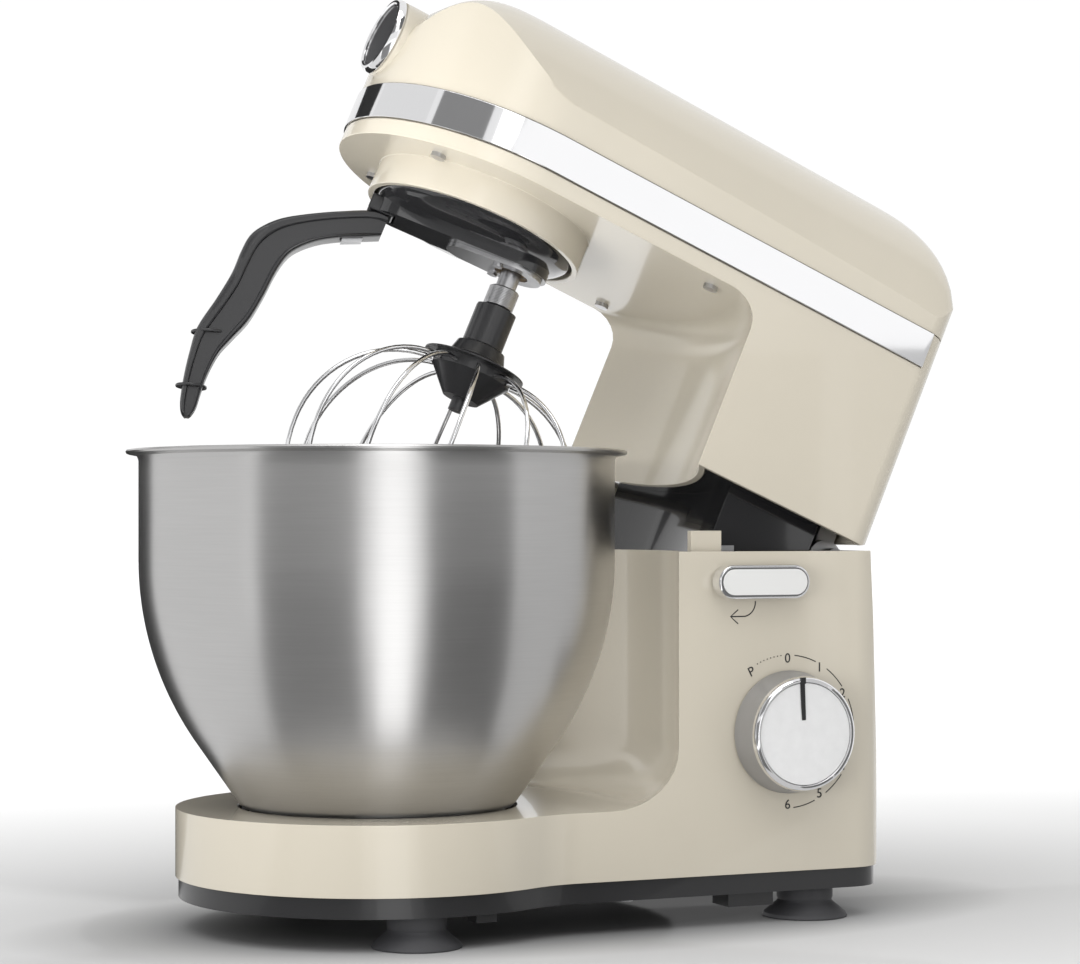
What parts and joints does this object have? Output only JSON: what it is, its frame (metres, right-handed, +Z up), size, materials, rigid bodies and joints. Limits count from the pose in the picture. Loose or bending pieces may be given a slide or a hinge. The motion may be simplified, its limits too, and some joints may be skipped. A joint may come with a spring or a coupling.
{
  "type": "stand mixer",
  "caption": "Tilt-head stand mixer, head raised, with a steel bowl, planetary drive, balloon whisk, scraper arm, speed knob and release lever.",
  "frame": {"origin": "on the floor plane, at the middle of the whole object's footprint box with the head raised", "axes": "+Z up, +X from the bowl towards the column, -Y the side with the knob and lever"},
  "size_m": [0.3978, 0.236, 0.4368],
  "materials": {
    "cream": "glossy warm cream moulded plastic",
    "dark_plastic": "satin black moulded plastic",
    "rubber": "matt dark rubber",
    "cap_grey": "dark grey gloss",
    "steel": "machined steel",
    "brushed_steel": "brushed stainless steel",
    "cast_aluminium": "die-cast",
    "chrome": "polished",
    "copper": "wound and bare copper",
    "bronze": "sintered bronze",
    "board_green": "printed circuit board",
    "lever_white": "white gloss inlay"
  },
  "bodies": {
    "base": {"base_shell": "cream", "bottom_pan": "dark_plastic", "bowl_seat": "steel", "suction_feet": "rubber", "base_screws": "steel", "hinge_brackets": "steel", "hinge_pin": "steel", "head_spring": "steel", "control_board": "board_green", "speed_switch": "dark_plastic", "cord_inlet": "dark_plastic", "lever_bush": "dark_plastic", "lever_spring": "steel"},
    "head": {"head_top_shell": "cream", "trim_band": "chrome", "head_lower_shell": "cream", "neck_skirt": "dark_plastic", "head_frame": "cast_aluminium", "head_screws": "steel", "ring_gear": "steel", "carrier_bearings": "steel", "motor_stator": "copper", "motor_brackets": "cast_aluminium", "motor_bearings": "steel", "drive_belt": "rubber", "layshaft_bearing": "steel"},
    "rotor": {"rotor_core": "steel", "rotor_shaft": "steel", "commutator": "copper", "cooling_fan": "dark_plastic", "motor_pulley": "steel"},
    "layshaft": {"layshaft": "steel", "layshaft_pulley": "dark_plastic"},
    "planetary": {"planet_carrier": "dark_plastic", "carrier_shaft": "steel", "carrier_gear": "steel", "carrier_plate": "steel", "plate_screws": "steel", "scraper_arm": "dark_plastic", "arm_strip": "steel", "shaft_bushes": "bronze"},
    "whisk": {"output_shaft": "steel", "planet_pinion": "steel", "cross_pin": "steel", "shaft_spring": "steel", "whisk_hub": "dark_plastic", "whisk_wires": "chrome"},
    "knob": {"speed_knob": "chrome", "knob_face": "brushed_steel", "knob_pointer": "dark_plastic", "knob_spindle": "steel"},
    "lever": {"release_lever": "chrome", "lever_face": "lever_white", "lever_spindle": "steel", "latch_hook": "steel"},
    "bowl": {"bowl": "brushed_steel", "bowl_foot": "brushed_steel"},
    "hub_cap": {"hub_cap_ring": "chrome", "hub_cap_disc": "cap_grey"}
  },
  "joints": [
    {"name": "head_tilt", "type": "hinge", "parent": "base", "child": "head", "pos_m": [0.13308, 0, 0.172], "axis": [0, -1, 0], "range_deg": [0, 23.5]},
    {"name": "planetary_spin", "type": "hinge", "parent": "head", "child": "planetary", "pos_m": [-0.03207, 0, 0.32886], "axis": [0.3987, 0, 0.9171], "continuous": true},
    {"name": "whisk_spin", "type": "hinge", "parent": "planetary", "child": "whisk", "pos_m": [-0.01058, -0.00716, 0.31952], "axis": [0.3987, 0, 0.9171], "continuous": true},
    {"name": "layshaft_spin", "type": "hinge", "parent": "head", "child": "layshaft", "pos_m": [0.03051, 0, 0.35617], "axis": [0.3987, 0, 0.9171], "continuous": true},
    {"name": "rotor_spin", "type": "hinge", "parent": "head", "child": "rotor", "pos_m": [0.13392, 0, 0.25669], "axis": [0.3987, 0, 0.9171], "continuous": true},
    {"name": "speed_knob_turn", "type": "hinge", "parent": "base", "child": "knob", "pos_m": [0.09648, -0.078, 0.0906], "axis": [0, 1, 0], "range_deg": [-40, 180]},
    {"name": "release_lever_turn", "type": "hinge", "parent": "base", "child": "lever", "pos_m": [0.06338, -0.078, 0.1617], "axis": [0, 1, 0], "range_deg": [0, 40], "stiffness_Nm_per_rad": 0.3},
    {"name": "bowl_twist", "type": "hinge", "parent": "base", "child": "bowl", "pos_m": [-0.08092, 0, 0.0565], "axis": [0, 0, 1], "range_deg": [0, 28]},
    {"name": "hub_cap_pull", "type": "slide", "parent": "head", "child": "hub_cap", "axis": [-0.9171, 0, 0.3987], "range_m": [0, 0.02]}
  ],
  "couplings": [
    {"joint": "whisk_spin", "follows": "planetary_spin", "ratio": -3.9167},
    {"joint": "layshaft_spin", "follows": "planetary_spin", "ratio": -3.4286},
    {"joint": "rotor_spin", "follows": "planetary_spin", "ratio": -13.714}
  ]
}
